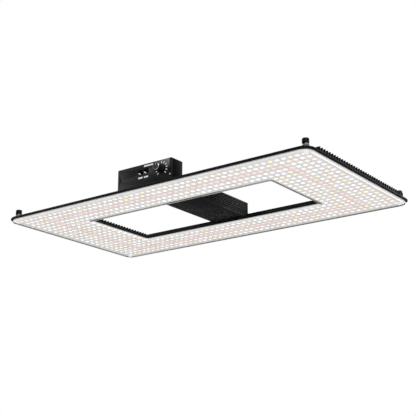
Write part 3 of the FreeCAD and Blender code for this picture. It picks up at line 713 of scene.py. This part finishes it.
def place_on_points(tree, start, end, piece, **ways):
    """Puts the piece on every point, makes the instances real and sets the material."""
    place = new_node(tree, "GeometryNodeInstanceOnPoints")
    link(tree, start.outputs["Geometry"], place.inputs["Points"])
    link(tree, piece, place.inputs["Instance"])
    for label, source in ways.items():
        link(tree, source, place.inputs[label])
    real = new_node(tree, "GeometryNodeRealizeInstances")
    link(tree, place.outputs[0], real.inputs[0])
    painted = new_node(tree, "GeometryNodeSetMaterial")
    link(tree, real.outputs[0], painted.inputs["Geometry"])
    link(tree, start.outputs["Material"], painted.inputs["Material"])
    link(tree, painted.outputs[0], end.inputs[0])
    return tree


def block_of(tree, size):
    """A cuboid."""
    block = new_node(tree, "GeometryNodeMeshCube")
    link(tree, size, block.inputs["Size"])
    return block.outputs["Mesh"]


def emitter_tree():
    """A low dome of silicone on every point, facing down."""
    sides, foot_share, top_share = 12, 0.5, 0.38
    tree, start, end = new_geometry_tree("led dome", [
        ("Diameter", "NodeSocketFloat"), ("Height", "NodeSocketFloat")])
    across = start.outputs["Diameter"]
    cone = new_node(tree, "GeometryNodeMeshCone")
    cone.inputs["Vertices"].default_value = sides
    link(tree, math_node(tree, "MULTIPLY", across, top_share), cone.inputs["Radius Top"])
    link(tree, math_node(tree, "MULTIPLY", across, foot_share), cone.inputs["Radius Bottom"])
    link(tree, start.outputs["Height"], cone.inputs["Depth"])
    turn = new_node(tree, "GeometryNodeTransform")
    turn.inputs["Rotation"].default_value = (math.pi, 0.0, 0.0)
    link(tree, cone.outputs["Mesh"], turn.inputs["Geometry"])
    return place_on_points(tree, start, end, turn.outputs[0])


def package_tree():
    """A square white frame on every point, under the dome."""
    tree, start, end = new_geometry_tree("led package", [
        ("Side", "NodeSocketFloat"), ("Thickness", "NodeSocketFloat")])
    size = new_node(tree, "ShaderNodeCombineXYZ")
    link(tree, start.outputs["Side"], size.inputs["X"])
    link(tree, start.outputs["Side"], size.inputs["Y"])
    link(tree, start.outputs["Thickness"], size.inputs["Z"])
    return place_on_points(tree, start, end, block_of(tree, size.outputs[0]))


def patch_tree():
    """A thin round patch of the board's surface on every point."""
    sides = 12
    tree, start, end = new_geometry_tree("lit patch", [
        ("Radius", "NodeSocketFloat"), ("Thickness", "NodeSocketFloat")])
    disc = new_node(tree, "GeometryNodeMeshCylinder")
    disc.inputs["Vertices"].default_value = sides
    link(tree, start.outputs["Radius"], disc.inputs["Radius"])
    link(tree, start.outputs["Thickness"], disc.inputs["Depth"])
    return place_on_points(tree, start, end, disc.outputs["Mesh"])


def ring_of_blocks_tree():
    """A flat block on every point, pointing away from a centre."""
    tree, start, end = new_geometry_tree("ring of blocks", [
        ("Size", "NodeSocketVector"), ("Centre", "NodeSocketVector")])
    point = new_node(tree, "GeometryNodeInputPosition").outputs[0]
    turn = new_node(tree, "FunctionNodeAlignRotationToVector", axis="X")
    link(tree, vector_math(tree, "SUBTRACT", point, start.outputs["Centre"]),
         turn.inputs["Vector"])
    return place_on_points(tree, start, end, block_of(tree, start.outputs["Size"]),
                           Rotation=turn.outputs[0])


def row_of_blocks_tree():
    """A flat block on every point, each a little shorter than its share of the row."""
    shortest, longest = 0.72, 0.9
    tree, start, end = new_geometry_tree("row of blocks", [
        ("Size", "NodeSocketVector"), ("Seed", "NodeSocketInt")])
    chance = new_node(tree, "FunctionNodeRandomValue", data_type="FLOAT")
    chance.inputs[2].default_value, chance.inputs[3].default_value = shortest, longest
    link(tree, start.outputs["Seed"], chance.inputs["Seed"])
    scale = new_node(tree, "ShaderNodeCombineXYZ")
    link(tree, chance.outputs[1], scale.inputs["X"])
    scale.inputs["Y"].default_value, scale.inputs["Z"].default_value = 1.0, 1.0
    return place_on_points(tree, start, end, block_of(tree, start.outputs["Size"]),
                           Scale=scale.outputs[0])


# ---------------------------------------------------------------- operators
# How soft the edges of each replaced node are, as a share of the edge setting.
SOFT_EDGES = {
    "heat_sink": 0.5, "hanging_posts": 0.8, "driver_case": 0.5, "driver_front_cap": 1.0,
    "driver_rear_cap": 1.0, "control_box_shell": 1.0, "control_panel": 0.8,
    "dimmer_knob": 0.5, "cable_gland": 0.8, "gland_nut": 0.8, "data_ports": 0.4,
}


class GROWLIGHT_OT_metalwork(bpy.types.Operator):
    """Give every part its finish, and the cast, bent and moulded ones softened edges"""

    bl_idname = "growlight.metalwork"
    bl_label = "Finish the parts"

    def execute(self, context):
        edge = context.scene.grow_body.edge
        for node, material in finishes().items():
            if node not in SOFT_EDGES:
                paint(frame["nodes"][node], material)
                continue
            obj = softened(node, edge * SOFT_EDGES[node])
            paint(obj, material)
            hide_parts(node)
            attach(obj, body_of_node(node))
        return {"FINISHED"}


class GROWLIGHT_OT_leds(bpy.types.Operator):
    """Build the LEDs on the board"""

    bl_idname = "growlight.leds"
    bl_label = "LEDs"

    # Shares of the height of one LED, from its lit face to the board.
    dome_height, package_height, package_middle = 0.36, 0.79, 0.6
    patch_thickness = 0.04 * MM

    def execute(self, context):
        lamp = context.scene.grow_lamp
        low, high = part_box("white_leds")
        tall, board = high.z - low.z, high.z
        dome_z = low.z + 0.5 * self.dome_height * tall
        package_z = low.z + self.package_middle * tall
        domes, patches = emitter_tree(), patch_tree()
        packages = []
        for family in ("white", "warm", "red"):
            colour = list(getattr(lamp, family))
            centres = led_centres(family + "_leds")
            packages += [(x, y, package_z) for x, y in centres]
            dome = points_object(family + "_domes", [(x, y, dome_z) for x, y in centres])
            grow(dome, domes, {"Diameter": lamp.emitter, "Height": self.dome_height * tall,
                               "Material": lit(family + "_light", colour, lamp.strength)})
            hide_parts(family + "_leds")
            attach(dome, "root")
            spots = [(x, y, board - self.patch_thickness) for x, y in centres]
            patch = points_object(family + "_patches", spots)
            grow(patch, patches, {"Radius": lamp.halo, "Thickness": self.patch_thickness,
                                  "Material": board_finish(family + "_lit_mask", colour)})
            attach(patch, "root")
        plastic = surface("led_frame_plastic", (0.85, 0.85, 0.84), 0.4, grain=900.0,
                          depth=0.01, glow=0.7)
        frames = points_object("led_packages", packages)
        grow(frames, package_tree(), {"Side": lamp.package, "Material": plastic,
                                      "Thickness": self.package_height * tall})
        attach(frames, "root")
        return {"FINISHED"}


class GROWLIGHT_OT_marks(bpy.types.Operator):
    """Print the dial's scale and the dashes of the control panel, and fit the sockets' small lights"""

    bl_idname = "growlight.marks"
    bl_label = "Control panel marks"

    def execute(self, context):
        marks = context.scene.grow_marks
        title_width, title_reach, title_drop = 20.5 * MM, 29 * MM, 3.9 * MM
        title_dashes, socket_dashes, title_seed = 8, 5, 3
        dash_drop, dash_margin = 6.8 * MM, 0.6 * MM
        light_in, light_back, light_up = 1.0 * MM, 0.6 * MM, 2.2 * MM
        # the ink glows a little: painted light that makes the marks brighter
        self.ink = surface("white_ink", list(marks.ink), 0.5, grain=2500.0, depth=0.01,
                           mottle=0.05, glow=0.25)
        low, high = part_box("control_panel")
        knob_low, knob_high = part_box("dimmer_knob")
        self.face = low.y - marks.tick[1] / 2
        dial = (knob_low + knob_high) / 2
        dial.y = self.face
        self.scale(marks, dial)
        rows = row_of_blocks_tree()
        self.dashes("title_dashes", rows, dial.x - title_reach, high.z - title_drop,
                    title_width, title_dashes, title_seed)
        openings = frame["record"]["physics"]["openings"]
        sockets = [item for item in openings if item["name"].startswith("data_port")]
        for seed, socket in enumerate(sockets):
            (left, _, foot), (right, _, _) = socket["box_m"]
            name = socket["name"].replace("data_port", "socket")
            self.dashes(name + "_dashes", rows, (left + right) / 2, foot - dash_drop,
                        right - left - dash_margin, socket_dashes, seed)
            self.socket_light(name + "_light",
                              Vector((left + light_in, low.y + light_back, foot + light_up)))
        return {"FINISHED"}

    def scale(self, marks, dial):
        """The ticks round the dial, over the range of its joint."""
        first, last = frame["record"]["behaviour"]["joints"][0]["range_deg"]
        spots = []
        for k in range(marks.ticks):
            turn = math.radians(first + (last - first) * k / (marks.ticks - 1))
            spots.append(dial + marks.tick_radius * Vector((math.sin(turn), 0.0, math.cos(turn))))
        obj = points_object("dial_ticks", spots)
        grow(obj, ring_of_blocks_tree(), {"Size": tuple(marks.tick), "Centre": tuple(dial),
                                          "Material": self.ink})
        self.fix(obj)

    def dashes(self, name, rows, x, z, width, count, seed):
        """A row of dashes about x, in place of a line of text."""
        marks = bpy.context.scene.grow_marks
        share = width / count
        spots = [(x + (k - (count - 1) / 2) * share, self.face, z) for k in range(count)]
        obj = points_object(name, spots)
        grow(obj, rows, {"Size": (share, marks.tick[1], marks.bar), "Seed": seed,
                         "Material": self.ink})
        self.fix(obj)

    def socket_light(self, name, centre):
        """The small domed light of a socket."""
        radius, depth = 0.9 * MM, 4 * MM
        profile = [(0.5 * radius, -0.3 * MM), (0.85 * radius, -0.15 * MM),
                   (radius, 0.1 * MM), (radius, depth)]
        obj = turned(name, profile, centre)
        paint(obj, lit(name + "_lens", (0.9, 0.93, 0.95), 0.5))
        self.fix(obj)

    def fix(self, obj):
        """Fixes a mark to the lamp."""
        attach(obj, "root")


class GROWLIGHT_OT_stage(bpy.types.Operator):
    """Set the floor, the light and the camera"""

    bl_idname = "growlight.stage"
    bl_label = "Stage"

    def execute(self, context):
        stage = context.scene.grow_stage
        self.floor(stage)
        self.world(context)
        self.lights()
        self.camera(context, stage)
        return {"FINISHED"}

    def floor(self, stage):
        """A plain pale floor."""
        half = 9.0
        corners = ((-half, -half), (half, -half), (half, half), (-half, half))
        mesh = bpy.data.meshes.new("floor")
        mesh.from_pydata([(x, y, -stage.floor_drop) for x, y in corners], [], [(0, 1, 2, 3)])
        floor = add_object("floor", mesh)
        paint(floor, surface("paper", list(stage.paper), 0.8, depth=0.0, mottle=0.02, grain=40.0))

    def world(self, context):
        """White behind the lamp, and a dimmer white that lights it."""
        seen, fill = 1.0, 0.32
        world = bpy.data.worlds.new("studio")
        world.use_nodes = True
        tree = world.node_tree
        tree.nodes.clear()
        mix = new_node(tree, "ShaderNodeMixShader")
        path = new_node(tree, "ShaderNodeLightPath")
        link(tree, path.outputs["Is Camera Ray"], mix.inputs[0])
        for socket, strength in ((mix.inputs[1], fill), (mix.inputs[2], seen)):
            background = new_node(tree, "ShaderNodeBackground")
            background.inputs["Color"].default_value = (1.0, 1.0, 1.0, 1.0)
            background.inputs["Strength"].default_value = strength
            link(tree, background.outputs[0], socket)
        output = new_node(tree, "ShaderNodeOutputWorld")
        link(tree, mix.outputs[0], output.inputs["Surface"])
        context.scene.world = world
        context.scene.view_settings.view_transform = "Standard"

    def lights(self):
        """Three square lights that look at the lamp: name, place, side in metres, watts."""
        for name, place, side, power in (
                ("key", (1.3, -1.2, 1.5), 1.2, 20.0),
                ("side", (-2.2, -0.8, 1.0), 1.0, 12.0),
                ("back", (0.6, 2.4, 1.2), 1.2, 14.0)):
            light = bpy.data.lights.new(name, "AREA")
            light.size, light.energy = side, power
            obj = add_object(name, light)
            obj.location = place
            obj.rotation_euler = (-Vector(place)).to_track_quat("-Z", "Y").to_euler()

    def camera(self, context, stage):
        """The camera, set by its turn and height angle round the point that it looks at."""
        view = bpy.data.cameras.new("view")
        view.lens, view.sensor_width = stage.lens, 36.0
        view.clip_start, view.clip_end = 0.05, 50.0
        camera = add_object("view", view)
        level = math.cos(stage.elevation)
        back = Vector((math.sin(stage.azimuth) * level, -math.cos(stage.azimuth) * level,
                       math.sin(stage.elevation)))
        led_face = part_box("white_leds")[0].z
        target = Vector((0.0, 0.0, led_face)) + Vector(stage.aim)
        camera.rotation_mode = "QUATERNION"
        camera.rotation_quaternion = (-back).to_track_quat("-Z", "Y")
        camera.location = target + back * stage.distance
        context.scene.camera = camera


OPERATORS = (GROWLIGHT_OT_stage, GROWLIGHT_OT_metalwork, GROWLIGHT_OT_leds, GROWLIGHT_OT_marks)


class GROWLIGHT_PT_panel(bpy.types.Panel):
    """Lists the steps that finish the grow light"""

    bl_label = "Grow Light"
    bl_idname = "GROWLIGHT_PT_panel"
    bl_space_type = "VIEW_3D"
    bl_region_type = "UI"
    bl_category = "Grow Light"

    def draw(self, context):
        for operator in OPERATORS:
            self.layout.operator(operator.bl_idname)


def register():
    """Registers the settings, the operators and the panel."""
    for name, settings in SETTINGS.items():
        bpy.utils.register_class(settings)
        setattr(bpy.types.Scene, name, PointerProperty(type=settings))
    for operator in OPERATORS:
        bpy.utils.register_class(operator)
    bpy.utils.register_class(GROWLIGHT_PT_panel)


def unregister():
    """Takes away what register added."""
    bpy.utils.unregister_class(GROWLIGHT_PT_panel)
    for operator in reversed(OPERATORS):
        bpy.utils.unregister_class(operator)
    for name, settings in SETTINGS.items():
        delattr(bpy.types.Scene, name)
        bpy.utils.unregister_class(settings)


def main():
    """Runs every step."""
    register()
    for operator in OPERATORS:
        group, name = operator.bl_idname.split(".")
        getattr(getattr(bpy.ops, group), name)()


if __name__ == "__main__":
    main()
